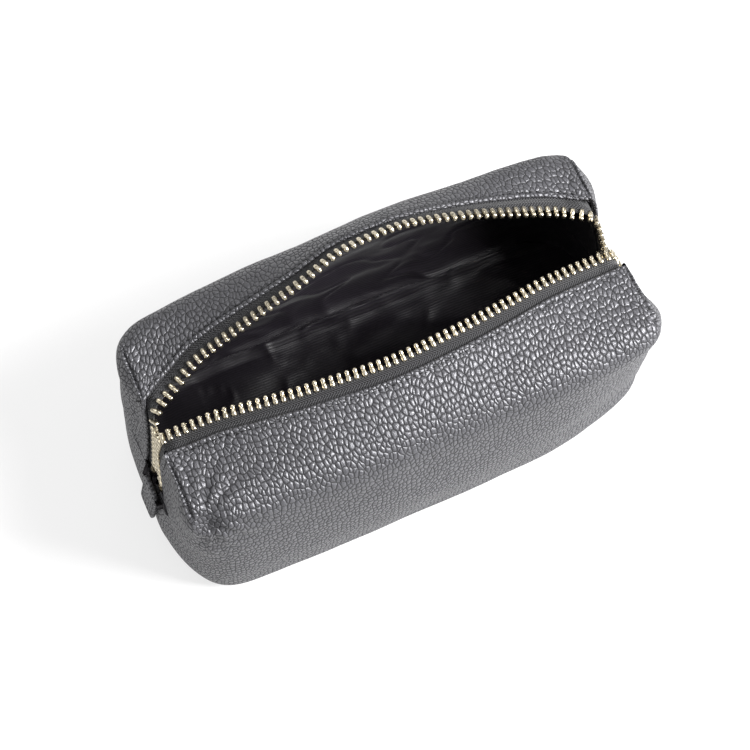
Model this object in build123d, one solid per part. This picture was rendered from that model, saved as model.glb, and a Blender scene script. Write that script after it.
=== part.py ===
# Leather travel wash bag with a metal zip, standing open. Millimetres.
# X runs along the zip, Y from front to back, Z up. The origin is on the floor under the middle.
import math
import os

from build123d import *

# Leather body
HALF = 114.0                # half the length of the long walls
BODY_HEIGHT = 97.0          # floor to the top, where the bag is closed
RIDGE_DEPTH = 51.0          # middle plane to the front ridge
BASE_HALF_DEPTH = 57.0      # middle plane to the foot of a long wall
SEAM_HALF_DEPTH = 37.0      # middle plane to the base panel's seam
FOOT_ROUND = 11.0
WALL_ROUND = 22.0
RIDGE_ROUND = 14.0
WALL_BULGE = 3.0            # swell of the long walls at half height
CORNER_INSET = 2.5          # draw of the long walls towards the upright edges
CORNER_REACH = 12.0         # and the length over which they draw in
BACK_LIFT = 24.0            # rise of the back edge of the mouth at mid length
FRONT_LIFT = 11.0
LIFT_END = HALF - 10        # the mouth's edges lie flat beyond this distance from the middle
CROWN_SLOPE = 0.142         # lean of the end panels along the zip
CROWN_LOW = 22.0            # height at which an end panel stands out furthest
CROWN_FLAT = 27.0           # half width of an end panel's flat middle
PUFF = {                    # swell of an end panel on either side of the zip
    ("left", "front"): 2.5, ("left", "back"): 3.5, ("right", "front"): 6.0, ("right", "back"): 4.5,
}
PUFF_FOOT = 24.0            # height at which the swell begins
PUFF_START = 19.0           # middle plane to where the swell begins

# Layers, from the outside in
LEATHER = 1.6
TAPE = 0.8
LINING = 0.5
LAYER_GAP = 0.3

# Zip
TOOTH_PITCH = 3.8
TOOTH_THICKNESS = 1.6
TOOTH_REACH = 3.8           # from the tape's edge to the tip
TOOTH_CLAMP = 1.8           # grip of the legs on the tape
TOOTH_HALF_HEIGHT = 1.6
SLOT_HALF = 0.7             # half the slot between a tooth's legs
SLOT_FLOOR = 0.55           # from the tape's edge to the slot's floor
TAPE_WIDTH = 14.0
TAPE_SHOWING = 7.0          # tape between its edge and the leather
MESH_HALF = 2.35            # centre line to either tape's edge where the teeth mesh
ZIP_CORNER = 7.0            # radius where the zip turns down the ends
RUN_Y = 3.5                 # centre line of the zip on the right end panel
RUN_FOOT = 30.0             # lowest tooth on the right end panel
LEFT_FOOT = 53.0            # lowest tooth on the left end panel

# Slider and pull
SLIDER_REST = 59.0          # height of the slider's middle
SLIDER_LENGTH = 14.0
SHOULDER_HALF = 8.8
MOUTH_HALF = 5.5
WING = 1.1
WING_CLEAR = 0.3            # between a wing and the teeth
FLANGE = 1.0
FLANGE_SLOT = 0.75          # tape's middle plane to a flange
POST_HALF = 1.0
POST_LINE = 5.7             # centre line to either tape's edge beside the post
PIN_RADIUS = 0.7
PIN_OFFSET = 4.8            # tape's middle plane to the pin's axis
EYE_CLEAR = 0.05
BOSS_RADIUS = 1.6
EYE_HALF = 1.5
LUG = 1.2
LUG_GAP = 0.25
PULL_LENGTH = 24.0
PULL_WIDTH = 7.0
PULL_THICKNESS = 1.2

# Tab on the left end and label on the lining
TAB_WIDTH = 14.0
TAB_LENGTH = 31.0
TAB_THICKNESS = 2.2
TAB_TOP = 49.0
TAB_Y = -9.0
LABEL_MIDDLE = -24.0
LABEL_HALF = 21.0
LABEL_TOP = 15.0
LABEL_HEIGHT = 20.0
LABEL = 1.0

# Derived sizes
TAPE_DEPTH = LEATHER + LAYER_GAP + TAPE / 2
LINING_DEPTH = LEATHER + TAPE + 2 * LAYER_GAP
INNER_FACE = HALF + LAYER_GAP                   # inner face of an end panel at its upright edges
ZIP_FACE = INNER_FACE - LAYER_GAP - TAPE / 2    # tape's middle plane on an end panel, at its edges
CROWN_TOP = BODY_HEIGHT - 1
LEAN = math.atan(CROWN_SLOPE)
ZIP_TOP = BODY_HEIGHT - TAPE_DEPTH
TURN = math.pi / 2 - LEAN
TURN_Z = ZIP_TOP - ZIP_CORNER
TURN_X = ZIP_FACE + CROWN_SLOPE * (CROWN_TOP - TURN_Z) - ZIP_CORNER / math.cos(LEAN)
STRAIGHT = TURN_X + ZIP_CORNER * TURN           # distance along the zip at which the end run begins
STRAIGHT_Z = TURN_Z + ZIP_CORNER * math.cos(TURN)
SIGN = {"front": -1, "back": 1, "left": -1, "right": 1}
POINTS = 22                                     # points along a layer's cross-section

# Shape of the mouth and the walls: (distance along the zip, place), left to right, at KNOT_HALF
KNOT_HALF = 114.0           # half length for which these knots are laid out
BACK_RIDGE = [(-112, 56), (-70, 60), (-20, 62), (27, 63), (80, 62), (112, 60)]
FRONT_FOOT = [(-112, 61), (-60, 61), (20, 60), (60, 58.5), (85, 55), (112, 48)]
FRONT_TOP = [(-128, -2.35), (-117, -3), (-92, -4), (-70, -7.5), (-45, -11), (-6, -14), (25, -12),
             (55, -8), (80, -4), (112, -2)]
BACK_TOP = [(-128, 2.35), (-119, 5.5), (-110, 12.5), (-100, 18), (-85, 25), (-58, 30.5), (-31, 36),
            (-5, 43), (19, 44), (45, 40.5), (75, 34), (98, 28), (112, 21)]


def smooth(knots, at):
    """Smooth value through (place, value) knots, level at its peaks so that it never overshoots."""
    if at <= knots[0][0]:
        return knots[0][1]
    if at >= knots[-1][0]:
        return knots[-1][1]
    i = max(k for k in range(len(knots) - 1) if knots[k][0] <= at)
    rates = [(b[1] - a[1]) / (b[0] - a[0]) for a, b in zip(knots, knots[1:])]

    def rate(k):
        if k in (0, len(knots) - 1):
            return 0.0
        a, b = rates[k - 1], rates[k]
        return 0.0 if a * b <= 0 else 2 * a * b / (a + b)

    (x0, y0), (x1, y1) = knots[i], knots[i + 1]
    h = x1 - x0
    t = (at - x0) / h
    return (
        y0 * (1 + 2 * t) * (1 - t) ** 2 + y1 * t * t * (3 - 2 * t)
        + h * (rate(i) * t * (1 - t) ** 2 - rate(i + 1) * t * t * (1 - t))
    )


def along_at(z):
    """Distance along the zip at which an end run stands z above the floor."""
    return STRAIGHT + (STRAIGHT_Z - z) / math.cos(LEAN)


def rows():
    """Knots of both tape edges, from the left end's stops to the right end's stop."""
    post = along_at(SLIDER_REST + SLIDER_LENGTH / 2)
    post_end = along_at(SLIDER_REST + SLIDER_LENGTH / 2 - 4)
    mesh = along_at(SLIDER_REST - SLIDER_LENGTH / 2 + 3)
    ends = {}
    for side, knots, left_stop in (("front", FRONT_TOP, -11.6), ("back", BACK_TOP, -2.2)):
        top = [(at * HALF / KNOT_HALF, y) for at, y in knots]
        left = [(-along_at(LEFT_FOOT - 3), left_stop), (-along_at(BODY_HEIGHT - 19), SIGN[side] * MESH_HALF)]
        right = [
            (post, RUN_Y + SIGN[side] * POST_LINE),
            (post_end, RUN_Y + SIGN[side] * (POST_LINE - 0.2)),
            (mesh, RUN_Y + SIGN[side] * MESH_HALF),
            (mesh + 60, RUN_Y + SIGN[side] * MESH_HALF),
        ]
        meshed_left = [k for k in top if k[0] > left[1][0] + 1]
        ends[side] = left + meshed_left + right
    return ends


ROWS = rows()


def edge_y(side, along):
    return smooth(ROWS[side], along)


def bow(x, power=1.0):
    return max(0.0, 1 - (x / LIFT_END) ** 2) ** power


def skin(side, x):
    """Outer skin of a long wall at x: points (y, z) from the tape's edge to the base seam."""
    sign = SIGN[side]
    arch = bow(x)
    inset = CORNER_INSET * max(0.0, 1 - (HALF - abs(x)) / CORNER_REACH) ** 2
    at = x * KNOT_HALF / HALF
    ridge = smooth(BACK_RIDGE, at) if side == "back" else RIDGE_DEPTH + 1.5 * arch
    lift = BACK_LIFT * bow(x, 1.2) if side == "back" else FRONT_LIFT * arch
    foot = smooth(FRONT_FOOT, at) if side == "front" else BASE_HALF_DEPTH + 1.5 * arch
    corners = [
        (sign * edge_y(side, x), BODY_HEIGHT + lift),
        (ridge - inset, BODY_HEIGHT),
        (max(ridge, foot) + WALL_BULGE * arch - inset, BODY_HEIGHT * 0.45),
        (foot - inset, 0.0),
        (SEAM_HALF_DEPTH, 0.0),
    ]
    points = []
    for i, corner in enumerate(corners):
        size = (0, RIDGE_ROUND, WALL_ROUND, FOOT_ROUND, 0)[i]
        if size == 0:
            points.append(corner)
            continue
        ends = []
        for other in (corners[i - 1], corners[i + 1]):
            span = math.dist(corner, other)
            cut = min(size, 0.46 * span) / span
            ends.append([c + (o - c) * cut for c, o in zip(corner, other)])
        for k in range(9):
            t = k / 8
            points.append(tuple(
                (1 - t) ** 2 * a + 2 * t * (1 - t) * c + t * t * b for a, c, b in zip(ends[0], corner, ends[1])
            ))
    return [(sign * y, z) for y, z in points]


def walk(points, distance):
    """Point at a distance along a line of (y, z) points; it runs straight on past either end."""
    left = distance
    for i, (a, b) in enumerate(zip(points, points[1:])):
        span = math.dist(a, b)
        if left <= span or i == len(points) - 2:
            return tuple(p + (q - p) * left / span for p, q in zip(a, b))
        left -= span


def length_of(points):
    return sum(math.dist(a, b) for a, b in zip(points, points[1:]))


def inside(side, points, distance, depth):
    """Point sunk in by depth from the skin, at a distance from the tape's edge."""
    y, z = walk(points, distance)
    (y0, z0), (y1, z1) = walk(points, distance - 1.5), walk(points, distance + 1.5)
    size = math.hypot(y1 - y0, z1 - z0)
    sign = SIGN[side]
    return y + sign * (z1 - z0) / size * depth, z - sign * (y1 - y0) / size * depth


def layer_wire(side, x, start, stop, depth, thickness):
    points = skin(side, x)
    stop = length_of(points) + stop if stop <= 0 else stop
    places = [start + (stop - start) * k / (POINTS - 1) for k in range(POINTS)]
    outer, inner = (
        [Vector(x, *inside(side, points, p, d)) for p in places] for d in (depth, depth + thickness)
    )
    return Wire([
        Spline(*outer).edge(), Line(outer[-1], inner[-1]).edge(),
        Spline(*reversed(inner)).edge(), Line(inner[0], outer[0]).edge(),
    ])


def stations(low, high, step=11.0):
    count = max(2, math.ceil((high - low) / step))
    return [low + (high - low) * k / count for k in range(count + 1)]


def wall_layer(side, start, stop, depth, thickness, xs=None):
    """A solid through one layer's cross-sections. stop counts back from the base seam if it is not above 0."""
    if xs is None:
        reach = HALF if depth == 0 else HALF - LEATHER - LAYER_GAP
        xs = [-reach, 3 - reach] + stations(6 - reach, reach - 6) + [reach - 3, reach]
    return Solid.make_loft([layer_wire(side, x, start, stop, depth, thickness) for x in xs], True)


def half_depth(hand, side, z, depth=0.0):
    """How far a long wall's end stands from the middle plane at height z, at a layer's depth."""
    points = skin(side, SIGN[hand] * HALF)
    total = length_of(points)
    best = 0.0
    marks = [inside(side, points, total * k / 400, depth) for k in range(401)]
    for (y0, z0), (y1, z1) in zip(marks, marks[1:]):
        if min(z0, z1) - 1e-6 <= z <= max(z0, z1) + 1e-6:
            best = max(best, abs(y0), abs(y1))
    return best


def crown(z):
    """How far an end panel's flat middle stands out past its upright edges."""
    if z >= CROWN_LOW:
        return CROWN_SLOPE * (CROWN_TOP - z) if z < CROWN_TOP else 0.0
    most = CROWN_SLOPE * (CROWN_TOP - CROWN_LOW)
    fall = (CROWN_LOW - z) / CROWN_LOW
    return most + CROWN_SLOPE * CROWN_LOW * fall * (1 - 1.5 * fall) * 0.6


def crown_at(y, z):
    past = max(0.0, abs(y) - CROWN_FLAT) / (RIDGE_DEPTH - CROWN_FLAT)
    return crown(z) * max(0.0, 1 - past ** 2)


def puff(hand, y, z, edge):
    """Swell of an end panel between the zip and its upright edge."""
    share = max(0.0, (abs(y) - PUFF_START) / (edge - PUFF_START))
    rise = min(1.0, max(0.0, (BODY_HEIGHT - 0.4 - z) / 9)) ** 0.5 * min(1.0, max(0.0, z - PUFF_FOOT) / 36)
    return PUFF[hand, "back" if y > 0 else "front"] * rise * max(0.0, 4 * share * (1 - share)) ** 1.5


END_SHARES = (0.2, 0.34, 0.43, 0.51, 0.59, 0.68, 0.77, 0.86, 0.94, 1.0)


def end_sheet(hand, depth, thickness):
    """End panel or its lining: a crowned sheet through horizontal cross-sections."""
    out = SIGN[hand]
    low = 0.2 if depth == 0 else LINING_DEPTH
    high = BODY_HEIGHT - 0.4 if depth == 0 else BODY_HEIGHT - LINING_DEPTH - 0.2
    heights = [low, low + 1.2, low + 3.5, low + 8, CROWN_LOW - 6, CROWN_LOW]
    heights += [CROWN_LOW + (high - 9 - CROWN_LOW) * k / 6 for k in range(1, 7)]
    heights += [high - 6, high - 3.5, high - 1.8, high - 0.7, high]
    outer_x = INNER_FACE + LEATHER - depth
    wires = []
    for z in heights:
        front, back = half_depth(hand, "front", z, depth), half_depth(hand, "back", z, depth)
        ys = [-front * t for t in reversed(END_SHARES)] + [0.0] + [back * t for t in END_SHARES]

        def swell(y, z):
            return puff(hand, y, z, back if y > 0 else front) if depth == 0 else 0.0

        faces = [
            [Vector(out * (x + crown_at(y, z) + swell(y, z)), y, z) for y in ys]
            for x in (outer_x, outer_x - thickness)
        ]
        wires.append(Wire([
            Spline(*faces[0]).edge(), Line(faces[0][-1], faces[1][-1]).edge(),
            Spline(*reversed(faces[1])).edge(), Line(faces[1][0], faces[0][0]).edge(),
        ]))
    return Solid.make_loft(wires, True)


def slot_cutter(hand):
    """The gap between the leather edges for the zip on an end panel."""
    out = SIGN[hand]
    foot = RUN_FOOT - 5 if hand == "right" else TAB_TOP - 4
    heights = [foot + (BODY_HEIGHT + 3 - foot) * k / 24 for k in range(25)]
    rims = {}
    for side in ("front", "back"):
        rims[side] = [
            (edge_y(side, out * along_at(min(z, BODY_HEIGHT - 3))) + SIGN[side] * TAPE_SHOWING, z)
            for z in heights
        ]
    outline = rims["front"] + list(reversed(rims["back"]))
    plane = Plane.YZ.offset(out * HALF - 12)
    face = plane * make_face(Polyline(*outline, close=True))
    return extrude(face, 30 if hand == "right" else 24)


def zip_notch(hand):
    """Room in the lining for the tapes where they turn down the end."""
    out = SIGN[hand]
    low = edge_y("front", out * TURN_X) - TAPE_WIDTH - 1
    high = edge_y("back", out * TURN_X) + TAPE_WIDTH + 1
    return Pos(out * (TURN_X + 9), (low + high) / 2, BODY_HEIGHT) * Box(20, high - low, 22)


def end_flat(hand, z, thickness, back_off):
    """The part of a base layer that fills an end panel's crown."""
    out = SIGN[hand]
    reach = half_depth(hand, "front", z, back_off) - 0.8
    edge = HALF + LAYER_GAP - back_off
    rim = [
        (out * (INNER_FACE - LAYER_GAP - back_off + crown_at(y, z)), y)
        for y in (-reach + 2 * reach * k / 16 for k in range(17))
    ]
    rim = [p for p in rim if out * p[0] > edge + 0.2]
    seam = SEAM_HALF_DEPTH - LAYER_GAP
    outline = (
        [(out * (HALF - 8), -seam), (out * edge, -seam), (out * edge, rim[0][1])] + rim
        + [(out * edge, rim[-1][1]), (out * edge, seam), (out * (HALF - 8), seam)]
    )
    face = Plane.XY.offset(z) * make_face(Polyline(*outline, close=True))
    return extrude(face, thickness)


def base_layer(z, thickness, back_off):
    slab = Pos(0, 0, z + thickness / 2) * Box(2 * HALF - 14, 2 * (SEAM_HALF_DEPTH - LAYER_GAP), thickness)
    return slab + end_flat("left", z, thickness, back_off) + end_flat("right", z, thickness, back_off)


def zip_point(side, along, across=0.0, lift=0.0):
    """Point on the tape's middle plane: across is measured from its edge towards the leather, lift outward."""
    if abs(along) <= TURN_X:
        return Vector(along, *inside(side, skin(side, along), across, TAPE_DEPTH - lift))
    out = 1 if along > 0 else -1
    y = edge_y(side, along) + SIGN[side] * across
    turned = min(TURN, (abs(along) - TURN_X) / ZIP_CORNER)
    x = TURN_X + (ZIP_CORNER + lift) * math.sin(turned)
    z = TURN_Z + (ZIP_CORNER + lift) * math.cos(turned)
    down = max(0.0, abs(along) - STRAIGHT)
    x += down * math.sin(LEAN)
    z -= down * math.cos(LEAN)
    x -= (crown(z) - crown_at(y, z)) * math.sin(turned)
    return Vector(out * x, y, z)


def zip_tape(side):
    """The woven tape of one side, with a bent cross-section at every station."""
    low, high = -along_at(LEFT_FOOT - 7), along_at(RUN_FOOT - 8)
    places = stations(low, -STRAIGHT, 4) + stations(-STRAIGHT, -TURN_X, 1.7)[1:]
    places += stations(-TURN_X, TURN_X, 3.8)[1:]
    places += stations(TURN_X, STRAIGHT, 1.7)[1:] + stations(STRAIGHT, high, 2.6)[1:]
    wires = []
    for along in places:
        top = [zip_point(side, along, a, TAPE / 2) for a in (0, TAPE_WIDTH / 2, TAPE_WIDTH)]
        under = [zip_point(side, along, a, -TAPE / 2) for a in (TAPE_WIDTH, TAPE_WIDTH / 2, 0)]
        wires.append(Wire.make_polygon(top + under, close=True))
    return Solid.make_loft(wires, True)


def zip_frame(side, along):
    """Plane at a tooth: x across the tape towards the other row, y outward, z along the zip."""
    here = zip_point(side, along)
    step = 0.4
    tangent = (zip_point(side, along + step) - zip_point(side, along - step)).normalized()
    gap = edge_y("back", along) - edge_y("front", along)
    if gap < 2 * TOOTH_REACH + 3:
        share = max(0.0, (gap - 2 * TOOTH_REACH) / 3)
        tangent = Vector(tangent.X, tangent.Y * share, tangent.Z).normalized()
    across = (here - zip_point(side, along, 2.0)).normalized()
    across = (across - tangent * across.dot(tangent)).normalized()
    return Plane(origin=here, x_dir=across, z_dir=tangent)


def zip_piece(side, along, thickness, reach):
    """A tooth, or a stop if its reach is short: two legs on the tape and a head."""
    waist, h = TOOTH_HALF_HEIGHT * 0.7, TOOTH_HALF_HEIGHT
    outline = [
        (-TOOTH_CLAMP, -h), (0.8, -h), (reach, -waist), (reach, waist), (0.8, h), (-TOOTH_CLAMP, h),
        (-TOOTH_CLAMP, SLOT_HALF), (SLOT_FLOOR, SLOT_HALF), (SLOT_FLOOR, -SLOT_HALF),
        (-TOOTH_CLAMP, -SLOT_HALF),
    ]
    plane = zip_frame(side, along).offset(-thickness / 2)
    return extrude(plane * make_face(Polyline(*outline, close=True)), thickness)


def tooth_places(side, low, high):
    shift = 0.0 if side == "front" else 0.5
    first = math.ceil(low / TOOTH_PITCH - shift)
    last = math.floor(high / TOOTH_PITCH - shift)
    return [(k + shift) * TOOTH_PITCH for k in range(first, last + 1)]


def teeth(side, low, high):
    return Compound([
        solid for along in tooth_places(side, low, high)
        for solid in zip_piece(side, along, TOOTH_THICKNESS, TOOTH_REACH).solids()
    ])


def bottom_stop():
    """A clip across both tapes below the lowest teeth."""
    web, cap, h = MESH_HALF - 0.4, MESH_HALF + TOOTH_CLAMP, TOOTH_HALF_HEIGHT
    outline = [
        (-cap, -h), (cap, -h), (cap, -SLOT_HALF), (web, -SLOT_HALF), (web, SLOT_HALF), (cap, SLOT_HALF),
        (cap, h), (-cap, h), (-cap, SLOT_HALF), (-web, SLOT_HALF), (-web, -SLOT_HALF), (-cap, -SLOT_HALF),
    ]
    frame = zip_frame("front", along_at(RUN_FOOT - 3.2))
    middle = Vector(frame.origin.X, RUN_Y, frame.origin.Z)
    plane = Plane(origin=middle, x_dir=frame.x_dir, z_dir=frame.z_dir).offset(-1.5)
    return extrude(plane * make_face(Polyline(*outline, close=True)), 3)


def on_run(solid):
    """Moves a shape from the slider's own frame (x outward, z up the run) to its place on the right end."""
    x = ZIP_FACE + CROWN_SLOPE * (CROWN_TOP - SLIDER_REST)
    return Pos(x, RUN_Y, SLIDER_REST) * Rot(0, -math.degrees(LEAN), 0) * solid


def wing_outline(inset, over=0.0):
    half = SLIDER_LENGTH / 2
    low, wide = MOUTH_HALF - inset, SHOULDER_HALF - inset
    return [
        (-low, -half - over), (low, -half - over), (low, -half + 2), (wide, 2.5), (wide, half + over),
        (-wide, half + over), (-wide, 2.5), (-low, -half + 2),
    ]


def slider_body():
    inner, outer = TOOTH_HALF_HEIGHT + WING_CLEAR, TOOTH_HALF_HEIGHT + WING_CLEAR + WING
    block = extrude(Plane.YZ * make_face(Polyline(*wing_outline(0), close=True)), outer, both=True)
    block = chamfer(block.edges().filter_by(Axis.X), 0.8)
    channel = extrude(Plane.YZ * make_face(Polyline(*wing_outline(FLANGE, 1), close=True)), inner, both=True)
    gap = Box(2 * FLANGE_SLOT, 4 * SHOULDER_HALF, SLIDER_LENGTH + 2)
    post = Pos(0, 0, SLIDER_LENGTH / 2 - 2) * Box(2 * inner + 0.4, 2 * POST_HALF, 3.8)
    body = block - channel - gap + post
    for side in (-1, 1):
        lug = Pos(PIN_OFFSET, side * (EYE_HALF + LUG_GAP + LUG / 2), 0) * (
            Rot(90, 0, 0) * Cylinder(BOSS_RADIUS, LUG)
            + Pos((outer - PIN_OFFSET) / 2 - 0.1, 0, 0) * Box(PIN_OFFSET - outer + 0.2, LUG, 2 * BOSS_RADIUS)
        )
        body = body + lug
    hole = Pos(PIN_OFFSET, 0, 0) * Rot(90, 0, 0) * Cylinder(PIN_RADIUS, 12)
    return on_run(body - hole)


def pull_pin():
    reach = 2 * (EYE_HALF + LUG_GAP + LUG)
    return on_run(Pos(PIN_OFFSET, 0, 0) * Rot(90, 0, 0) * Cylinder(PIN_RADIUS - 0.01, reach))


def pull_tab():
    """The pull, hanging down along the run from its eye."""
    eye = Rot(90, 0, 0) * Cylinder(BOSS_RADIUS, 2 * EYE_HALF)
    neck = Pos(0, 0, -2.6) * Box(PULL_THICKNESS, 2 * EYE_HALF, 4.4)
    plate = Pos(0, 0, -3.4 - (PULL_LENGTH - 3.4) / 2) * Box(PULL_THICKNESS, PULL_WIDTH, PULL_LENGTH - 3.4)
    plate = fillet(plate.edges().filter_by(Axis.X), 2.2)
    window = Pos(0, 0, -PULL_LENGTH + 5.4) * Box(4, PULL_WIDTH - 3.6, 5)
    hole = Rot(90, 0, 0) * Cylinder(PIN_RADIUS + EYE_CLEAR, 12)
    return on_run(Pos(PIN_OFFSET, 0, 0) * (eye + neck + plate - window - hole))


def left_tab():
    """Leather tab sewn over the zip's left foot."""
    slab = Pos(0, 0, -TAB_LENGTH / 2) * Box(TAB_THICKNESS, TAB_WIDTH, TAB_LENGTH)
    slab = fillet(slab.edges().filter_by(Axis.X), 3.0)
    x = INNER_FACE + LEATHER + CROWN_SLOPE * (CROWN_TOP - TAB_TOP) + LAYER_GAP + TAB_THICKNESS / 2
    return Pos(-x, TAB_Y, TAB_TOP) * Rot(0, math.degrees(LEAN), 0) * slab


def main():
    os.makedirs("parts", exist_ok=True)
    slots = {hand: slot_cutter(hand) for hand in ("left", "right")}
    made = {}
    for side in ("front", "back"):
        made[f"{side}_panel"] = wall_layer(side, TAPE_SHOWING, 0, 0, LEATHER)
        made[f"{side}_interlining"] = wall_layer(side, TAPE_WIDTH + 1.5, -2, LEATHER + LAYER_GAP, TAPE)
        lining = wall_layer(side, TAPE_SHOWING + 2.5, 0, LINING_DEPTH, LINING)
        made[f"lining_{side}"] = lining - zip_notch("left") - zip_notch("right")
        made[f"zipper_tape_{side}"] = zip_tape(side)
        run = along_at(SLIDER_REST + SLIDER_LENGTH / 2 + 1.2)
        made[f"zipper_teeth_{side}"] = teeth(side, -along_at(LEFT_FOOT), run)
        made[f"top_stop_{side}"] = zip_piece(side, -along_at(LEFT_FOOT - 3), 3.0, 1.8)
    for hand in ("left", "right"):
        made[f"{hand}_end_panel"] = end_sheet(hand, 0, LEATHER) - slots[hand]
        made[f"lining_{hand}_end"] = end_sheet(hand, LINING_DEPTH, LINING) - slots[hand] - zip_notch(hand)
    made["base_panel"] = base_layer(0, LEATHER, 0)
    made["base_board"] = base_layer(LEATHER + LAYER_GAP, TAPE, LEATHER + LAYER_GAP)
    made["lining_base"] = base_layer(LINING_DEPTH, LINING, LEATHER + LAYER_GAP)
    label_xs = stations(LABEL_MIDDLE - LABEL_HALF, LABEL_MIDDLE + LABEL_HALF)
    made["lining_label"] = wall_layer(
        "back", LABEL_TOP, LABEL_TOP + LABEL_HEIGHT, LINING_DEPTH + LINING + LAYER_GAP, LABEL, label_xs
    )
    run = along_at(SLIDER_REST + SLIDER_LENGTH / 2 + 1.2) + 0.01
    made["zipper_teeth_run"] = Compound(
        [s for side in ("front", "back") for s in teeth(side, run, along_at(RUN_FOOT)).solids()]
    )
    made["bottom_stop"] = bottom_stop()
    made["slider_body"] = slider_body()
    made["pull_pin"] = pull_pin()
    made["pull_tab"] = pull_tab()
    made["left_zip_tab"] = left_tab()
    for name, shape in made.items():
        export_step(shape, f"parts/{name}.step")


main()
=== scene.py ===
import math

import bpy
import numpy as np
from mathutils import Matrix, Vector, noise


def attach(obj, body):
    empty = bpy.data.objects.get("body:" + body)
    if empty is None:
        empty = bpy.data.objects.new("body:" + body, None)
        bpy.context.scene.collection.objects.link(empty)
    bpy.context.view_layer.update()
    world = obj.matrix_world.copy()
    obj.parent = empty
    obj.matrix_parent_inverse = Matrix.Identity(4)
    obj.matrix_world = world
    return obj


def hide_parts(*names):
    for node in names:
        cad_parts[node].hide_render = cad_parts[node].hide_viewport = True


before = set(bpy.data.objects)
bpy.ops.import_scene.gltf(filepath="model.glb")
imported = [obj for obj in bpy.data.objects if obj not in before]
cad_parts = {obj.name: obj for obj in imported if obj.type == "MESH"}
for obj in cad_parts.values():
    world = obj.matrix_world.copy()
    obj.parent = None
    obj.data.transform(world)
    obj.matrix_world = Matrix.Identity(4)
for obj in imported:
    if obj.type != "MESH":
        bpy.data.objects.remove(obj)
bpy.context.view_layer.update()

MM = 0.001

# The bag's sizes, the same values as in the part's source, in millimetres
HALF = 114.0
BODY_HEIGHT = 97.0
RIDGE_DEPTH = 51.0
BASE_HALF_DEPTH = 57.0
SEAM_HALF_DEPTH = 37.0
FOOT_ROUND, WALL_ROUND, RIDGE_ROUND = 11.0, 22.0, 14.0
WALL_BULGE = 3.0
CORNER_INSET, CORNER_REACH = 2.5, 12.0
BACK_LIFT, FRONT_LIFT, LIFT_END = 24.0, 11.0, HALF - 10
CROWN_SLOPE, CROWN_LOW, CROWN_FLAT = 0.142, 22.0, 27.0
PUFF_START, PUFF_FOOT, KNOT_HALF = 19.0, 24.0, 114.0
PUFF = {("left", "front"): 2.5, ("left", "back"): 3.5, ("right", "front"): 6.0, ("right", "back"): 4.5}
LEATHER, TAPE, LINING, LAYER_GAP = 1.6, 0.8, 0.5, 0.3
TOOTH_PITCH, TOOTH_REACH, MESH_HALF = 3.8, 3.8, 2.35
TAPE_WIDTH, TAPE_SHOWING = 14.0, 7.0
ZIP_CORNER, RUN_Y, RUN_FOOT, LEFT_FOOT = 7.0, 3.5, 30.0, 53.0
SLIDER_REST, SLIDER_LENGTH, POST_LINE = 59.0, 14.0, 5.7
TAB_WIDTH, TAB_LENGTH, TAB_THICKNESS, TAB_TOP, TAB_Y = 14.0, 31.0, 2.2, 49.0, -9.0
LABEL_MIDDLE, LABEL_HALF, LABEL_TOP, LABEL_HEIGHT = -24.0, 21.0, 15.0, 20.0

TAPE_DEPTH = LEATHER + LAYER_GAP + TAPE / 2
LINING_DEPTH = LEATHER + TAPE + 2 * LAYER_GAP
INNER_FACE = HALF + LAYER_GAP
ZIP_FACE = INNER_FACE - LAYER_GAP - TAPE / 2
CROWN_TOP = BODY_HEIGHT - 1
LEAN = math.atan(CROWN_SLOPE)
ZIP_TOP = BODY_HEIGHT - TAPE_DEPTH
TURN = math.pi / 2 - LEAN
TURN_Z = ZIP_TOP - ZIP_CORNER
TURN_X = ZIP_FACE + CROWN_SLOPE * (CROWN_TOP - TURN_Z) - ZIP_CORNER / math.cos(LEAN)
STRAIGHT = TURN_X + ZIP_CORNER * TURN
STRAIGHT_Z = TURN_Z + ZIP_CORNER * math.cos(TURN)
SIGN = {"front": -1, "back": 1, "left": -1, "right": 1}

BACK_RIDGE = [(-112, 56), (-70, 60), (-20, 62), (27, 63), (80, 62), (112, 60)]
FRONT_FOOT = [(-112, 61), (-60, 61), (20, 60), (60, 58.5), (85, 55), (112, 48)]
FRONT_TOP = [(-128, -2.35), (-117, -3), (-92, -4), (-70, -7.5), (-45, -11), (-6, -14), (25, -12),
             (55, -8), (80, -4), (112, -2)]
BACK_TOP = [(-128, 2.35), (-119, 5.5), (-110, 12.5), (-100, 18), (-85, 25), (-58, 30.5), (-31, 36),
            (-5, 43), (19, 44), (45, 40.5), (75, 34), (98, 28), (112, 21)]


def smooth(knots, at):
    """Monotone curve through the knots."""
    if at <= knots[0][0]:
        return knots[0][1]
    if at >= knots[-1][0]:
        return knots[-1][1]
    i = max(k for k in range(len(knots) - 1) if knots[k][0] <= at)
    rates = [(b[1] - a[1]) / (b[0] - a[0]) for a, b in zip(knots, knots[1:])]

    def rate(k):
        if k in (0, len(knots) - 1):
            return 0.0
        a, b = rates[k - 1], rates[k]
        return 0.0 if a * b <= 0 else 2 * a * b / (a + b)

    (x0, y0), (x1, y1) = knots[i], knots[i + 1]
    h = x1 - x0
    t = (at - x0) / h
    return (
        y0 * (1 + 2 * t) * (1 - t) ** 2 + y1 * t * t * (3 - 2 * t)
        + h * (rate(i) * t * (1 - t) ** 2 - rate(i + 1) * t * t * (1 - t))
    )


def along_at(z):
    """Distance along the zip at height z on an end."""
    return STRAIGHT + (STRAIGHT_Z - z) / math.cos(LEAN)


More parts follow.
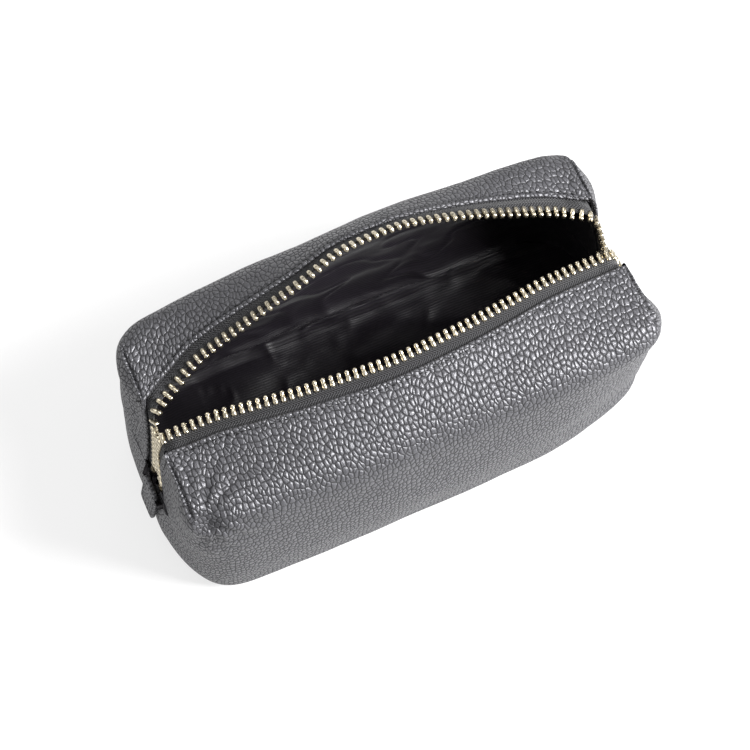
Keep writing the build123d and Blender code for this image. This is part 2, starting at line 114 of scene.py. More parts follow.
def rows():
    """(along, y) knots of each row of teeth."""
    post = along_at(SLIDER_REST + SLIDER_LENGTH / 2)
    post_end = along_at(SLIDER_REST + SLIDER_LENGTH / 2 - 4)
    mesh = along_at(SLIDER_REST - SLIDER_LENGTH / 2 + 3)
    ends = {}
    for side, knots, left_stop in (("front", FRONT_TOP, -11.6), ("back", BACK_TOP, -2.2)):
        top = [(at * HALF / KNOT_HALF, y) for at, y in knots]
        left = [(-along_at(LEFT_FOOT - 3), left_stop), (-along_at(BODY_HEIGHT - 19), SIGN[side] * MESH_HALF)]
        right = [
            (post, RUN_Y + SIGN[side] * POST_LINE),
            (post_end, RUN_Y + SIGN[side] * (POST_LINE - 0.2)),
            (mesh, RUN_Y + SIGN[side] * MESH_HALF),
            (mesh + 60, RUN_Y + SIGN[side] * MESH_HALF),
        ]
        ends[side] = left + [k for k in top if k[0] > left[1][0] + 1] + right
    return ends


ROWS = rows()


def edge_y(side, along):
    return smooth(ROWS[side], along)


def bow(x, power=1.0):
    """One in the middle of a long wall, and none from LIFT_END on."""
    return max(0.0, 1 - (x / LIFT_END) ** 2) ** power


def bezier(before, corner, after, size, count=13):
    ends = []
    for other in (before, after):
        span = math.dist(corner, other)
        cut = min(size, 0.46 * span) / span
        ends.append([c + (o - c) * cut for c, o in zip(corner, other)])
    t = np.linspace(0, 1, count)[:, None]
    a, c, b = np.array(ends[0]), np.array(corner), np.array(ends[1])
    return (1 - t) ** 2 * a + 2 * t * (1 - t) * c + t * t * b


def skin(side, x):
    """Outer skin of a long wall at x: (y, z) points from the tape's edge to the base seam."""
    sign = SIGN[side]
    arch = bow(x)
    inset = CORNER_INSET * max(0.0, 1 - (HALF - abs(x)) / CORNER_REACH) ** 2
    at = x * KNOT_HALF / HALF
    ridge = smooth(BACK_RIDGE, at) if side == "back" else RIDGE_DEPTH + 1.5 * arch
    lift = BACK_LIFT * bow(x, 1.2) if side == "back" else FRONT_LIFT * arch
    foot = smooth(FRONT_FOOT, at) if side == "front" else BASE_HALF_DEPTH + 1.5 * arch
    corners = [
        (sign * edge_y(side, x), BODY_HEIGHT + lift),
        (ridge - inset, BODY_HEIGHT),
        (max(ridge, foot) + WALL_BULGE * arch - inset, BODY_HEIGHT * 0.45),
        (foot - inset, 0.0),
        (SEAM_HALF_DEPTH, 0.0),
    ]
    parts = [np.array([corners[0]])]
    for i, size in ((1, RIDGE_ROUND), (2, WALL_ROUND), (3, FOOT_ROUND)):
        parts.append(bezier(corners[i - 1], corners[i], corners[i + 1], size))
    parts.append(np.array([corners[4]]))
    points = np.vstack(parts)
    points[:, 0] *= sign
    return points


def arc(points):
    return np.concatenate([[0.0], np.cumsum(np.hypot(*np.diff(points, axis=0).T))])


def inside(side, points, places, depth):
    """(y, z) sunk in by depth from the skin at distances from the tape's edge, and the outward normal."""
    length = arc(points)

    def at(s):
        y = np.interp(s, length, points[:, 0])
        z = np.interp(s, length, points[:, 1])
        first = (points[1] - points[0]) / length[1]
        last = (points[-1] - points[-2]) / (length[-1] - length[-2])
        under, over = np.minimum(s, 0), np.maximum(s - length[-1], 0)
        return np.stack([y + under * first[0] + over * last[0], z + under * first[1] + over * last[1]], -1)

    places = np.asarray(places, float)
    here = at(places)
    way = at(places + 1.5) - at(places - 1.5)
    way /= np.linalg.norm(way, axis=-1, keepdims=True)
    out = np.stack([-way[..., 1], way[..., 0]], -1) * SIGN[side]
    return here - out * np.asarray(depth)[..., None] if np.ndim(depth) else here - out * depth, out


def crown(z):
    z = np.asarray(z, float)
    upper = CROWN_SLOPE * np.maximum(0, CROWN_TOP - z)
    fall = (CROWN_LOW - z) / CROWN_LOW
    most = CROWN_SLOPE * (CROWN_TOP - CROWN_LOW)
    lower = most + CROWN_SLOPE * CROWN_LOW * fall * (1 - 1.5 * fall) * 0.6
    return np.where(z >= CROWN_LOW, upper, lower)


def crown_at(y, z):
    past = np.maximum(0.0, np.abs(y) - CROWN_FLAT) / (RIDGE_DEPTH - CROWN_FLAT)
    return crown(z) * np.maximum(0.0, 1 - past ** 2)


def puff(swell, y, z, edge):
    """Swell of an end panel between the zip and its upright edge."""
    share = np.maximum(0.0, (y - PUFF_START) / (edge - PUFF_START))
    rise = np.clip((BODY_HEIGHT - 0.4 - z) / 9, 0, 1) ** 0.5 * np.clip((z - PUFF_FOOT) / 36, 0, 1)
    return swell * rise * np.maximum(0.0, 4 * share * (1 - share)) ** 1.5


def zip_point(side, along, across=0.0, lift=0.0):
    """Point on the tape's middle plane, as (x, y, z) in mm."""
    if abs(along) <= TURN_X:
        place, _ = inside(side, skin(side, along), across, TAPE_DEPTH - lift)
        return np.array([along, place[0], place[1]])
    out = 1 if along > 0 else -1
    y = edge_y(side, along) + SIGN[side] * across
    turned = min(TURN, (abs(along) - TURN_X) / ZIP_CORNER)
    down = max(0.0, abs(along) - STRAIGHT)
    x = TURN_X + (ZIP_CORNER + lift) * math.sin(turned) + down * math.sin(LEAN)
    z = TURN_Z + (ZIP_CORNER + lift) * math.cos(turned) - down * math.cos(LEAN)
    x -= float(crown(z) - crown_at(y, z)) * math.sin(turned)
    return np.array([out * x, y, z])


# Meshes
def new_mesh(name, verts, faces, uvs=None):
    """Object from verts in mm. uvs is one (u, v) per vertex, in mm."""
    me = bpy.data.meshes.new(name)
    me.from_pydata((np.asarray(verts, float) * MM).tolist(), [], [tuple(f) for f in faces])
    me.update()
    if uvs is not None:
        layer = me.uv_layers.new(name="UVMap")
        loops = np.zeros(len(me.loops), np.int32)
        me.loops.foreach_get("vertex_index", loops)
        layer.data.foreach_set("uv", (np.asarray(uvs, float)[loops] * MM).astype(np.float32).ravel())
    me.polygons.foreach_set("use_smooth", [True] * len(me.polygons))
    ob = bpy.data.objects.new(name, me)
    bpy.context.scene.collection.objects.link(ob)
    return ob


def grid_faces(rows_, cols, flip=False, start=0):
    i, j = np.meshgrid(np.arange(rows_ - 1), np.arange(cols - 1), indexing="ij")
    a = (i * cols + j).ravel() + start
    quads = np.stack([a, a + 1, a + cols + 1, a + cols], 1)
    return quads[:, ::-1] if flip else quads


def grid_object(name, points, uv, flip=False):
    r, c = points.shape[:2]
    return new_mesh(name, points.reshape(-1, 3), grid_faces(r, c, flip), uv.reshape(-1, 2))


def fbm(p, scale, octaves=3, seed=0.0):
    """Smooth noise at points (n, 3) in mm, about -1 to 1."""
    total = np.zeros(len(p))
    for k in range(octaves):
        f = 2.0 ** k / scale
        places = [Vector((a * f + seed, b * f - seed, c * f + 3 * k)) for a, b, c in p]
        total += np.array([noise.noise(v) for v in places]) / 2 ** k
    return total


# Materials
VIEWPORT_GREY = (0.5, 0.5, 0.5, 1)
TAU = 6.283
PEBBLE_STRETCH = (1.3, 0.88, 1)
PEBBLE_JITTER = 0.85
STRIPE_PITCH, ZIGZAG, RIB_PITCH, WARP_PITCH = 1.3, 0.0022, 0.00135, 0.0011


def material(name, build):
    m = bpy.data.materials.new(name)
    m.use_nodes = True
    m.diffuse_color = VIEWPORT_GREY
    tree = m.node_tree
    tree.nodes.clear()
    out = tree.nodes.new("ShaderNodeOutputMaterial")
    bsdf = tree.nodes.new("ShaderNodeBsdfPrincipled")
    tree.links.new(bsdf.outputs[0], out.inputs[0])
    build(Tree(tree), bsdf)
    return m


def settings(node, **values):
    """Sets a node's inputs by name, with _ for a space."""
    for name, value in values.items():
        node.inputs[name.replace("_", " ")].default_value = value


class Tree:
    """Short names for making and joining shader nodes."""

    def __init__(self, tree):
        self.tree = tree

    def node(self, kind, **values):
        n = self.tree.nodes.new("ShaderNode" + kind)
        for k, v in values.items():
            setattr(n, k, v)
        return n

    def link(self, a, b):
        self.tree.links.new(a, b)

    def place(self, space):
        return self.node("TexCoord").outputs[space]

    def texture(self, kind, vector, scale, inputs=None, **values):
        n = self.node("Tex" + kind, **values)
        settings(n, Scale=scale, **(inputs or {}))
        self.link(vector, n.inputs["Vector"])
        return n

    def warped(self, vector, scale, reach, dimensions):
        """The vector moved about by noise, by up to reach in metres."""
        waves = self.texture("Noise", vector, scale, {"Detail": 2}, noise_dimensions=dimensions)
        n = self.node("VectorMath", operation="MULTIPLY_ADD")
        self.link(waves.outputs["Color"], n.inputs[0])
        n.inputs[1].default_value = (reach, reach, 0)
        self.link(vector, n.inputs[2])
        return n.outputs[0]

    def maths(self, op, a, b):
        n = self.node("Math", operation=op)
        for i, v in enumerate((a, b)):
            if isinstance(v, (int, float)):
                n.inputs[i].default_value = v
            elif v is not None:
                self.link(v, n.inputs[i])
        return n.outputs[0]

    def ramp(self, value, stops):
        n = self.node("ValToRGB")
        e = n.color_ramp.elements
        while len(e) < len(stops):
            e.new(0.5)
        for el, (pos, col) in zip(e, stops):
            el.position = pos
            el.color = (*col, 1) if isinstance(col, tuple) else (col, col, col, 1)
        self.link(value, n.inputs[0])
        return n.outputs[0]

    def map_range(self, value, a, b, c, d):
        n = self.node("MapRange")
        n.inputs[1].default_value, n.inputs[2].default_value = a, b
        n.inputs[3].default_value, n.inputs[4].default_value = c, d
        self.link(value, n.inputs[0])
        return n.outputs[0]

    def bump(self, bsdf, height, strength, distance):
        n = self.node("Bump")
        settings(n, Strength=strength, Distance=distance)
        self.link(height, n.inputs["Height"])
        self.link(n.outputs[0], bsdf.inputs["Normal"])


def leather_nodes(t, bsdf, cell=2.9, depth=0.00058, grey=0.041, gloss=0.40):
    """Domed pebbles about cell mm wide, with matt creases between them that are coloured nearly black as
    painted shade; depth is in metres.
    """
    uv = t.place("UV")
    shape = t.node("Mapping")
    settings(shape, Scale=PEBBLE_STRETCH)
    t.link(uv, shape.inputs["Vector"])
    at = t.warped(shape.outputs[0], 260, 0.0013, "2D")
    jitter = {"Randomness": PEBBLE_JITTER}
    edge = t.texture("Voronoi", at, 1000 / cell, jitter, voronoi_dimensions="2D",
                     feature="DISTANCE_TO_EDGE").outputs["Distance"]
    middle = t.texture("Voronoi", at, 1000 / cell, jitter, voronoi_dimensions="2D",
                       feature="F1").outputs["Distance"]
    fine = t.texture("Voronoi", at, 2300 / cell, voronoi_dimensions="2D",
                     feature="DISTANCE_TO_EDGE").outputs["Distance"]
    speck = t.texture("Noise", uv, 3000, {"Detail": 2}, noise_dimensions="2D").outputs["Fac"]
    dome = t.maths("POWER", t.map_range(edge, 0.0, 0.30, 0.0, 1.0), 0.5)
    dome = t.maths("SUBTRACT", t.maths("MULTIPLY", dome, 0.75),
                   t.maths("MULTIPLY", t.maths("MULTIPLY", middle, middle), 0.9))
    small = t.maths("POWER", t.map_range(fine, 0.0, 0.3, 0.0, 1.0), 0.6)
    height = t.maths("ADD", dome, t.maths("MULTIPLY", small, 0.10))
    height = t.maths("ADD", height, t.maths("MULTIPLY", speck, 0.06))
    t.bump(bsdf, height, 1.0, depth)
    # painted shade: the colour falls to nearly black in the creases between the pebbles, where shade would
    # fall
    crease = t.map_range(edge, 0.0, 0.17, 0.0, 1.0)
    colour = t.ramp(crease, [(0.0, (grey * 0.04, grey * 0.04, grey * 0.05)),
                             (0.5, (grey * 0.42, grey * 0.42, grey * 0.46)),
                             (1.0, (grey, grey * 0.99, grey * 1.10))])
    t.link(colour, bsdf.inputs["Base Color"])
    rough = t.maths("ADD", t.maths("MULTIPLY", speck, 0.14), gloss - 0.07)
    rough = t.maths("ADD", rough, t.map_range(crease, 0.0, 1.0, 0.5, 0.0))
    t.link(rough, bsdf.inputs["Roughness"])
    settings(bsdf, Specular_IOR_Level=0.85, Specular_Tint=(0.96, 0.955, 1.0, 1))


def lining_nodes(t, bsdf):
    """Dark cloth with fine woven stripes."""
    at = t.warped(t.place("UV"), 60, 0.002, "3D")
    lines = t.texture("Wave", at, 1000 / STRIPE_PITCH / TAU * 2, {"Distortion": 0.6, "Detail": 1},
                      wave_type="BANDS", bands_direction="Y").outputs["Fac"]
    t.link(t.ramp(lines, [(0.2, (0.0045, 0.0034, 0.0052)), (0.8, (0.0095, 0.0070, 0.0115))]),
           bsdf.inputs["Base Color"])
    t.link(t.map_range(lines, 0, 1, 0.60, 0.42), bsdf.inputs["Roughness"])
    t.bump(bsdf, lines, 0.5, 0.00012)
    settings(bsdf, Specular_IOR_Level=0.3, Sheen_Weight=0.05)


def tape_nodes(t, bsdf):
    """Herringbone weave."""
    apart = t.node("SeparateXYZ")
    t.link(t.place("UV"), apart.inputs[0])
    skew = t.maths("ADD", apart.outputs["X"],
                   t.maths("MULTIPLY", t.maths("PINGPONG", apart.outputs["Y"], ZIGZAG), 1.1))
    ribs = t.maths("SINE", t.maths("MULTIPLY", skew, TAU / RIB_PITCH), None)
    warps = t.maths("SINE", t.maths("MULTIPLY", apart.outputs["Y"], TAU / WARP_PITCH), None)
    height = t.maths("ADD", ribs, t.maths("MULTIPLY", warps, 0.5))
    t.bump(bsdf, height, 0.9, 0.0003)
    # painted shade and highlight: the colour follows the weave's height, near black in its low places and
    # lighter on its ribs
    colour = t.ramp(t.map_range(height, -1.5, 1.5, 0, 1), [
        (0.0, (0.004, 0.004, 0.005)), (0.55, (0.006, 0.0058, 0.007)), (1.0, (0.030, 0.029, 0.034))])
    t.link(colour, bsdf.inputs["Base Color"])
    settings(bsdf, Roughness=0.72, Sheen_Weight=0.08)


def metal_nodes(t, bsdf, colour=(0.66, 0.60, 0.48), rough=0.24):
    wear = t.texture("Noise", t.place("Object"), 900, {"Detail": 3}).outputs["Fac"]
    r, g, b = colour
    t.link(t.ramp(wear, [(0.3, (r * 0.82, g * 0.8, b * 0.74)), (0.7, colour)]), bsdf.inputs["Base Color"])
    t.link(t.map_range(wear, 0.2, 0.8, rough - 0.05, rough + 0.12), bsdf.inputs["Roughness"])
    t.bump(bsdf, wear, 0.25, 0.00005)
    settings(bsdf, Metallic=1.0)


def thread_nodes(t, bsdf, shade=1.0):
    ply = t.texture("Wave", t.place("Object"), 500, wave_type="BANDS", bands_direction="DIAGONAL")
    t.link(t.ramp(ply.outputs["Fac"], [(0, (0.003 * shade, 0.003 * shade, 0.0035 * shade)),
                                       (1, (0.014 * shade, 0.014 * shade, 0.016 * shade))]),
           bsdf.inputs["Base Color"])
    settings(bsdf, Roughness=0.55)


def felt_nodes(t, bsdf):
    fibres = t.texture("Noise", t.place("Object"), 700)
    t.link(t.ramp(fibres.outputs["Fac"], [(0.3, (0.02, 0.02, 0.02)), (0.7, (0.05, 0.05, 0.05))]),
           bsdf.inputs["Base Color"])
    settings(bsdf, Roughness=0.9)


LEATHER_MAT = material("pebbled_leather", leather_nodes)
SMOOTH_LEATHER = material(
    "smooth_leather", lambda t, b: leather_nodes(t, b, cell=1.6, depth=0.00008, grey=0.030, gloss=0.22)
)
LINING_MAT = material("lining_cloth", lining_nodes)
TAPE_MAT = material("zip_tape", tape_nodes)
TEETH_MAT = material("zip_metal", metal_nodes)
SLIDER_MAT = material("slider_metal", lambda t, b: metal_nodes(t, b, (0.80, 0.75, 0.62), 0.16))
THREAD_MAT = material("thread", thread_nodes)
# the label's thread is coloured nine times lighter than the other thread, a painted highlight on its
# stitches
LABEL_THREAD_PAINTED_HIGHLIGHT = material("label_thread_painted_highlight", lambda t, b: thread_nodes(t, b, 9.0))
FELT_MAT = material("felt", felt_nodes)


def dress(ob, mat, replaces=()):
    """Gives a piece its material, its body and the nodes that it stands for."""
    ob.data.materials.clear()
    ob.data.materials.append(mat)
    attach(ob, "bag")
    if replaces:
        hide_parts(*replaces)


def gauss(v, middle, width):
    return np.exp(-((v - middle) / width) ** 2)


# Leather shell
EDGE_X = HALF + LEATHER + LAYER_GAP     # the leather's outer face at the upright corners
EDGE_RADIUS = 0.95                      # of the rolled edges at the zip
WALL_COLS, END_COLS, SHELL_ROWS = 233, 46, 150
ROUND_LEVELS = [0, 1.5, 3.0, 5.0, 8.0, 12.0]
SEAM_ROUND, SOFT_ROUND, SOFT_ROWS = 1.5, 9.5, 24
FLAT_ABOVE = BODY_HEIGHT - 5            # from here up the grain of an end lies flat
# where the grain of each piece starts, so that no two show the same stretch of it
UV_APART, UV_RIM, UV_BASE, UV_LABEL, UV_TAB = 300.0, 600, 900, 900, 1500
MOUTH_GRAIN, RIM_GRAIN = 7.9, 0.4       # on the rolled edges: its start and its step from ring to ring


def slot_foot(hand):
    """Height at which the slot for the zip ends in an end panel."""
    return RUN_FOOT - 5 if hand == "right" else TAB_TOP - 4


def row_y(hand, side, z):
    """y of a row of teeth at height z on an end."""
    return edge_y(side, SIGN[hand] * along_at(min(z, BODY_HEIGHT - 3)))


def slot_rim(hand, side, zs):
    """y of the leather's edge beside the zip on an end, closed round below the slot's foot."""
    out, foot = SIGN[hand], slot_foot(hand)
    rim = np.array([row_y(hand, side, z) + SIGN[side] * TAPE_SHOWING for z in zs])
    ends = [edge_y(k, out * along_at(foot)) for k in ("front", "back")]
    middle = RUN_Y if hand == "right" else sum(ends) / 2
    close = np.clip((zs - foot) / 3.0, 0, 1)
    close = np.sqrt(np.maximum(0, 1 - (1 - close) ** 2))
    return middle + (rim - middle) * close, close


def smooth_across(pts, sigma, centres):
    """Rounds the grid across its columns near the given ones, by sigma columns in each row."""
    made = [pts]
    for level in ROUND_LEVELS[1:]:
        reach = int(3 * level) + 1
        kernel = np.exp(-0.5 * (np.arange(-reach, reach + 1) / level) ** 2)
        kernel /= kernel.sum()
        padded = np.concatenate([pts[:1].repeat(reach, 0), pts, pts[-1:].repeat(reach, 0)])
        made.append(np.apply_along_axis(lambda v: np.convolve(v, kernel, "valid"), 0, padded))
    made = np.array(made)
    place = np.interp(sigma, ROUND_LEVELS, np.arange(len(ROUND_LEVELS)))
    low = np.minimum(place.astype(int), len(ROUND_LEVELS) - 2)
    part = (place - low)[None, :, None]
    rows_ = np.arange(pts.shape[1])
    sharper, softer = (made[level, :, rows_].transpose(1, 0, 2) for level in (low, low + 1))
    rounded = sharper * (1 - part) + softer * part
    near = np.min(np.abs(np.arange(pts.shape[0])[:, None] - np.array(centres)[None, :]), axis=1)
    weight = np.clip(1 - (near[:, None] - 2.6 * sigma[None, :]) / 8, 0, 1)[..., None]
    return pts * (1 - weight) + rounded * weight


def end_reach(hand, side, z):
    """Greatest half depth of a side's outline on an end, near height z."""
    points = skin(side, SIGN[hand] * HALF)
    marks, _ = inside(side, points, np.linspace(0, arc(points)[-1], 500), 0)
    reach = []
    for height in z:
        near = np.abs(marks[:, 1] - height)
        level = near < 0.8
        reach.append(np.abs(marks[level, 0]).max() if level.any() else np.abs(marks[near.argmin(), 0]))
    return max(reach)


def shell_end(hand, side, edge, dist, share):
    """Half of an end as a grid, from the wall's last column to the zip, and its grain's (u, v)."""
    out = SIGN[hand]
    zip_z = (BODY_HEIGHT - 0.15) * (1 - share)
    zip_y, _ = slot_rim(hand, side, zip_z)
    t = np.linspace(0, 1, END_COLS)[1:, None]
    y = edge[None, :, 1] + (zip_y - edge[:, 1])[None, :] * t
    z = edge[None, :, 2] + (zip_z - edge[:, 2])[None, :] * t
    reach = np.maximum(np.abs(edge[:, 1])[None, :], end_reach(hand, side, z[0]))
    x = EDGE_X + crown_at(y, z) + puff(PUFF[hand, side], np.abs(y), z, reach)
    # the grain runs on from the wall round the corner, and lies flat above the ridge
    low = edge[:, 2] < FLAT_ABOVE
    heights = edge[low, 2][::-1]
    corner_y = np.interp(z, heights, np.abs(edge[low, 1])[::-1])
    down = np.interp(z, heights, dist[low][::-1]) - np.maximum(0, z - heights[-1])
    return np.stack([out * x, y, z], -1), np.stack([out * (EDGE_X + corner_y - SIGN[side] * y), down], -1)


def shell_side(side):
    """Leather of one side as a grid: the left end's half, the long wall and the right end's half."""
    share = np.linspace(0, 1, SHELL_ROWS)
    wall, dist = [], []
    for x in np.linspace(-EDGE_X, EDGE_X, WALL_COLS):
        points = skin(side, float(np.clip(x, -HALF, HALF)))
        s = TAPE_SHOWING + EDGE_RADIUS + (arc(points)[-2] - TAPE_SHOWING - EDGE_RADIUS) * share
        place, _ = inside(side, points, s, 0)
        wall.append(np.column_stack([np.full(len(s), x), place]))
        dist.append(s)
    wall, dist = np.array(wall), np.array(dist)
    ends = [shell_end(hand, side, wall[k], dist[k], share) for hand, k in (("left", 0), ("right", -1))]
    pts = np.concatenate([ends[0][0][::-1], wall, ends[1][0]])
    side_cols = END_COLS - 1
    down = np.concatenate([dist[:1].repeat(side_cols, 0), dist, dist[-1:].repeat(side_cols, 0)])
    uv_wall = np.stack([pts[..., 0], down], -1)
    uv_end = uv_wall.copy()
    uv_end[:side_cols] = ends[0][1][::-1]
    uv_end[-side_cols:] = ends[1][1]
    for end, k, col in ((ends[0], 0, side_cols), (ends[1], -1, -END_COLS)):
        next_one = end[1][0] * 2 - end[1][1]
        uv_end[col] = np.where((wall[k][:, 2] < FLAT_ABOVE)[:, None], uv_wall[col], next_one)
    first, last = side_cols, pts.shape[0] - END_COLS
    # corners: a crisp seam beside the mouth, a soft round one from the ridge down
    ridge = np.array([(wall[k][:, 2] > BODY_HEIGHT - 3).sum() for k in (0, -1)])
    fall = np.clip((np.arange(SHELL_ROWS)[:, None] - ridge[None, :]) / SOFT_ROWS, 0, 1).max(1)
    sigma = SEAM_ROUND + SOFT_ROUND * (3 * fall ** 2 - 2 * fall ** 3)
    pts = smooth_across(pts, sigma, (first, last))
    cols, rows_ = np.meshgrid(np.arange(pts.shape[0]), np.arange(SHELL_ROWS), indexing="ij")
    seam = np.minimum(np.abs(cols - first), np.abs(cols - last))
    seam_on = np.clip((ridge.min() + 3 - rows_) / 6, 0, 1)
    at_end = (cols < first) | (cols > last)
    return dict(pts=pts, uv_wall=uv_wall, uv_end=uv_end, first=first, last=last, seam=seam, seam_on=seam_on,
                rows=rows_, cols=cols, at_end=at_end, dist=uv_wall[..., 1])


def shell_relief(side, g):
    """Folds and swells of the leather, in mm along the outward normal."""
    pts = g["pts"]
    x, y, z = pts[..., 0], pts[..., 1], pts[..., 2]
    shape = x.shape
    flat = pts.reshape(-1, 3)
    swell = fbm(flat, 58, 2, 4.0).reshape(shape) * 0.95
    small = fbm(flat, 17, 2, 17.0).reshape(shape) * 0.24
    dist = g["dist"] - TAPE_SHOWING
    foot = np.clip(z / 12, 0, 1)
    from_zip = np.minimum(g["cols"], shape[0] - 1 - g["cols"])
    on_end = np.clip(from_zip / 12, 0, 1) * foot * np.clip(g["rows"] / 14, 0, 1)
    relief = (swell + small) * np.where(g["at_end"], on_end, np.clip(dist / 12, 0, 1) * foot)
    # stitch line beside the mouth
    wall = ~g["at_end"]
    relief -= np.where(wall, 0.62 * gauss(dist, 2.9, 0.7), 0)
    relief += np.where(wall, 0.25 * gauss(dist, 1.2, 0.9), 0)
    # seam grooves with a soft roll on both sides
    seam = g["seam"] * g["seam_on"] + 50 * (1 - g["seam_on"])
    relief += (0.55 * gauss(seam, 3.2, 2.2) - 1.5 * gauss(seam, 0, 0.9)) * np.clip(g["rows"] / 7, 0, 1)
    left, right = x < -60, x > 60
    if side == "front":
        # the pinched left ridge corner
        d = np.sqrt(((x + HALF - 4) / 7) ** 2 + ((z - 92) / 6) ** 2 + ((y + 50) / 10) ** 2)
        relief -= np.where(left, 4.2 * np.exp(-d ** 2), 0)
        # wrinkles that run out from the pinch, over the flap and down the wall
        px, py = x + HALF - 2, g["dist"] - 44
        angle, far = np.arctan2(py, np.maximum(px, 0.1)), np.hypot(px, py)
        wave = np.sin(angle * 13 + 0.5 * np.sin(far / 6)) * np.exp(-((far - 15) / 13) ** 2)
        relief += np.where(left & wall & (px > 0), 0.62 * wave, 0)
        fade = np.exp(-np.maximum(0, x + HALF - 3) / 20) * np.clip((x + HALF + 3) / 4, 0, 1)
        for height, slope, size in ((88, -0.10, 1.0), (80, -0.22, 0.8), (72, -0.3, 0.5)):
            line = height + slope * (x + HALF)
            relief -= np.where(left & (y < -44), size * gauss(z, line, 2.6) * fade, 0)
        # folds low on the right
        from_right = np.maximum(0, HALF - x)
        for size, height, slope, width, reach in ((-1.5, 26, 0.25, 5, 34), (1.2, 12, 0.1, 6, 30)):
            fold = size * gauss(z, height + slope * (HALF - x), width) * np.exp(-from_right / reach)
            relief += np.where(right, fold, 0)
    else:
        # puckers at both ridge corners
        for hand in (-1, 1):
            d = np.sqrt(((x * hand - HALF + 1) / 6) ** 2 + ((z - 94) / 5) ** 2)
            pucker = np.where(x * hand > 60, 1.6 * np.exp(-d ** 2), 0)
            relief -= pucker * np.clip(g["rows"] / 16, 0, 1) ** 2
    return relief


def welded(name, verts, faces, uvs):
    """One mesh from grids that share their borders, the kept vertices' numbers and their normals."""
    verts, faces, uvs = np.vstack(verts), np.vstack(faces), np.vstack(uvs)
    _, first, back_to = np.unique(np.round(verts, 2), axis=0, return_index=True, return_inverse=True)
    back_to = back_to.reshape(-1)
    polys, poly_uvs = [], []
    for face, uv in zip(back_to[faces].tolist(), uvs.tolist()):
        keep = [k for k in range(4) if face[k] != face[k - 1]]
        if len(keep) > 2 and len({face[k] for k in keep}) == len(keep):
            polys.append([face[k] for k in keep])
            poly_uvs += [uv[k] for k in keep]
    ob = new_mesh(name, verts[first], polys)
    layer = ob.data.uv_layers.new(name="UVMap")
    layer.data.foreach_set("uv", (np.array(poly_uvs) * MM).astype(np.float32).ravel())
    normals = np.zeros(len(first) * 3, np.float32)
    ob.data.vertex_normals.foreach_get("vector", normals)
    return ob, first, normals.reshape(-1, 3)


def move(ob, places):
    """Sets a mesh's vertices, in mm, and keeps them off the floor."""
    places[:, 2] = np.maximum(places[:, 2], 0.02)
    ob.data.vertices.foreach_set("co", (places * MM).astype(np.float32).ravel())
    ob.data.update()


def base_grid(sides, count=41):
    front, back = sides["front"]["pts"][:, -1], sides["back"]["pts"][:, -1]
    t = np.linspace(0, 1, count)[None, :, None]
    return front[:, None] * (1 - t) + back[:, None] * t


def rolled_edge(points, out, way, under):
    """Grid of a leather edge that is rolled over, with its last row moved on by under."""
    rings = [points - out * EDGE_RADIUS * (1 - math.cos(a)) - way * EDGE_RADIUS * math.sin(a)
             for a in np.linspace(0, math.pi, 9)]
    return np.array(rings + [rings[-1] + under]).transpose(1, 0, 2)


def mouth_edge(g):
    """The rolled edge of a long wall at the mouth."""
    edge = g["pts"][g["first"]:g["last"] + 1]
    out = np.cross(edge[2:, 0] - edge[:-2, 0], edge[1:-1, 1] - edge[1:-1, 0])
    out = np.concatenate([out[:1], out, out[-1:]])
    out *= np.sign(out[:, 2:3])
    out /= np.linalg.norm(out, axis=1, keepdims=True)
    way = edge[:, 1] - edge[:, 0]
    way[:, 0] = 0
    way /= np.linalg.norm(way, axis=1, keepdims=True)
    return rolled_edge(edge[:, 0], out, way, way * 5)


def leather_shell(sides):
    """The whole outer leather: both sides, both ends and the base as one skin."""
    verts, relief, faces, uvs = [], [], [], []

    def add(grid, flip, uv, rise=None, uv_of_end=None, on_end=None):
        cols, rows_ = grid.shape[:2]
        quads = grid_faces(cols, rows_, flip)
        by_corner = uv.reshape(-1, 2)[quads]
        if on_end is not None:
            at = on_end(quads.min(axis=1) // rows_)
            by_corner = np.where(at[:, None, None], uv_of_end.reshape(-1, 2)[quads], by_corner)
        uvs.append(by_corner)
        faces.append(quads + sum(len(v) for v in verts))
        verts.append(grid.reshape(-1, 3))
        relief.append(np.zeros(cols * rows_) if rise is None else rise.reshape(-1))

    for side, g in sides.items():
        apart = np.array([UV_APART if side == "back" else 0.0, 0])
        add(g["pts"], side == "back", g["uv_wall"] + apart, shell_relief(side, g), g["uv_end"] + apart,
            lambda column: (column < g["first"]) | (column >= g["last"]))
        ring = mouth_edge(g)
        down = -np.arange(ring.shape[1])[None, :] * RIM_GRAIN + MOUTH_GRAIN + 0 * ring[..., 0]
        add(ring, side == "front", np.stack([ring[:, :1, 0] + 0 * down, down], -1) + apart)
    # the end panels' edges beside the zip roll in the same way
    for side, g in sides.items():
        for hand, col in (("left", 0), ("right", -1)):
            edge = g["pts"][col]
            edge = edge[slot_rim(hand, side, edge[:, 2])[1] > 0.02]
            out = np.array([SIGN[hand] * math.cos(LEAN), 0, math.sin(LEAN)])
            way = np.array([0, SIGN[side], 0])
            ring = rolled_edge(edge, out, way, way * 1.2 - out * 0.8)
            down = np.arange(ring.shape[1])[None, :] * RIM_GRAIN + 0 * ring[..., 0]
            add(ring, (side == "front") != (hand == "left"), np.stack([ring[..., 2] + UV_RIM, down], -1))
    base = base_grid(sides)
    add(base, False, base[..., :2] + [0, UV_BASE])
    ob, first, normals = welded("leather_shell", verts, faces, uvs)
    places = np.vstack(verts)[first] + normals * np.concatenate(relief)[first][:, None]
    corner = np.abs(places[:, 0]) > HALF - 6
    places[corner, 2] = np.minimum(places[corner, 2], BODY_HEIGHT + 0.1)
    move(ob, places)
    dress(ob, LEATHER_MAT,
          ["front_panel", "back_panel", "left_end_panel", "right_end_panel", "base_panel"])


# Lining: one cloth bag inside the leather
def down_columns(pts):
    """Distance down each column of a grid, in mm."""
    step = np.linalg.norm(np.diff(pts, axis=1), axis=-1)
    return np.concatenate([np.zeros((len(pts), 1)), np.cumsum(step, axis=1)], axis=1)


